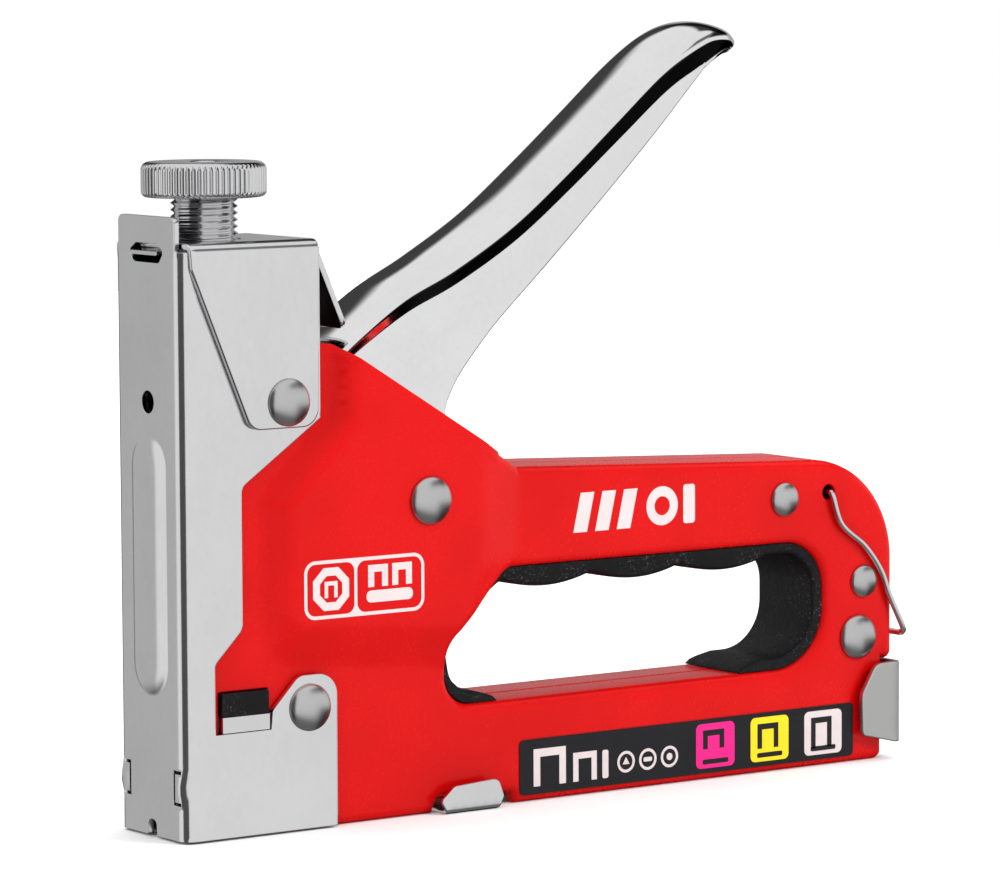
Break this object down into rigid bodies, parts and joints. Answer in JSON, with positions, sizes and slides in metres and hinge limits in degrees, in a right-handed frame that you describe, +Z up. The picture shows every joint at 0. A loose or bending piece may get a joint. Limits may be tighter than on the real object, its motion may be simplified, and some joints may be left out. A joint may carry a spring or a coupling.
{
  "type": "staple gun",
  "caption": "Hand staple gun with squeeze handle, power adjuster knob, chromed nose, finger opening and pull-out staple magazine.",
  "frame": {"origin": "middle of the tool's footprint, on the surface that its sole stands on", "axes": "+X from the nose to the tail, +Z up, Y across the tool with the left shell at -Y"},
  "size_m": [0.1726, 0.0308, 0.149],
  "materials": {
    "red": "gloss red stoved paint on pressed steel",
    "chrome": "bright chrome plate",
    "nickel": "bright nickel plate",
    "steel": "bare machined steel",
    "satin": "satin brushed steel",
    "spring": "oiled spring steel",
    "bumper_rubber": "matte moulded rubber",
    "liner": "grained soft plastic",
    "label": "printed film with a satin face"
  },
  "bodies": {
    "frame": {"left_shell": "red", "right_shell": "red", "left_label": "label", "right_label": "label", "nose_cover": "chrome", "top_bracket": "chrome", "adjuster_nut": "steel", "main_spring": "spring", "blade_guide": "steel", "bumper": "bumper_rubber", "bumper_plate": "nickel", "return_spring": "spring", "grip_liner": "liner", "magazine_channel": "steel", "magazine_strap": "nickel", "rivet_bracket": "nickel", "rivet_pivot": "nickel", "rivet_nose": "nickel", "rivet_grip": "nickel", "rivet_tail_upper": "nickel", "rivet_tail_lower": "nickel"},
    "knob": {"knob_head": "nickel", "knob_screw": "nickel"},
    "adjuster_seat": {"spring_cap": "steel"},
    "striker": {"hammer": "steel", "driver_blade": "steel"},
    "lever": {"handle": "chrome", "lift_lever": "steel", "lift_pin": "steel"},
    "bail": {"bail_wire": "nickel"},
    "magazine_slide": {"staple_rail": "steel", "guide_rod": "steel", "end_clip": "satin", "pusher_spring": "spring"},
    "feeder": {"pusher": "steel"}
  },
  "joints": [
    {"name": "handle_squeeze", "type": "hinge", "parent": "frame", "child": "lever", "pos_m": [-0.03179, 0, 0.0602], "axis": [0, 1, 0], "range_deg": [0, 38], "stiffness_Nm_per_rad": 0.15, "springref_deg": -34.38, "deforming": ["return_spring"]},
    {"name": "hammer_lift", "type": "slide", "parent": "frame", "child": "striker", "axis": [0, 0, 1], "range_m": [0, 0.0183], "deforming": ["main_spring"]},
    {"name": "adjuster_travel", "type": "slide", "parent": "frame", "child": "adjuster_seat", "axis": [0, 0, 1], "range_m": [-0.003, 0.0025], "deforming": ["main_spring"]},
    {"name": "knob_turn", "type": "hinge", "parent": "adjuster_seat", "child": "knob", "pos_m": [-0.07279, 0, 0.11], "axis": [0, 0, 1], "range_deg": [-870, 730]},
    {"name": "bail_swing", "type": "hinge", "parent": "frame", "child": "bail", "pos_m": [0.06671, 0, 0.055], "axis": [0, -1, 0], "range_deg": [0, 125]},
    {"name": "magazine_pull", "type": "slide", "parent": "frame", "child": "magazine_slide", "axis": [1, 0, 0], "range_m": [0, 0.1]},
    {"name": "staple_feed", "type": "slide", "parent": "magazine_slide", "child": "feeder", "axis": [1, 0, 0], "range_m": [0, 0.105], "stiffness_N_per_m": 30, "springref_m": -0.03, "deforming": ["pusher_spring"]}
  ],
  "couplings": [
    {"joint": "hammer_lift", "follows": "handle_squeeze", "m_per_rad": 0.02728},
    {"joint": "knob_turn", "follows": "adjuster_travel", "rad_per_m": 5026.5}
  ]
}
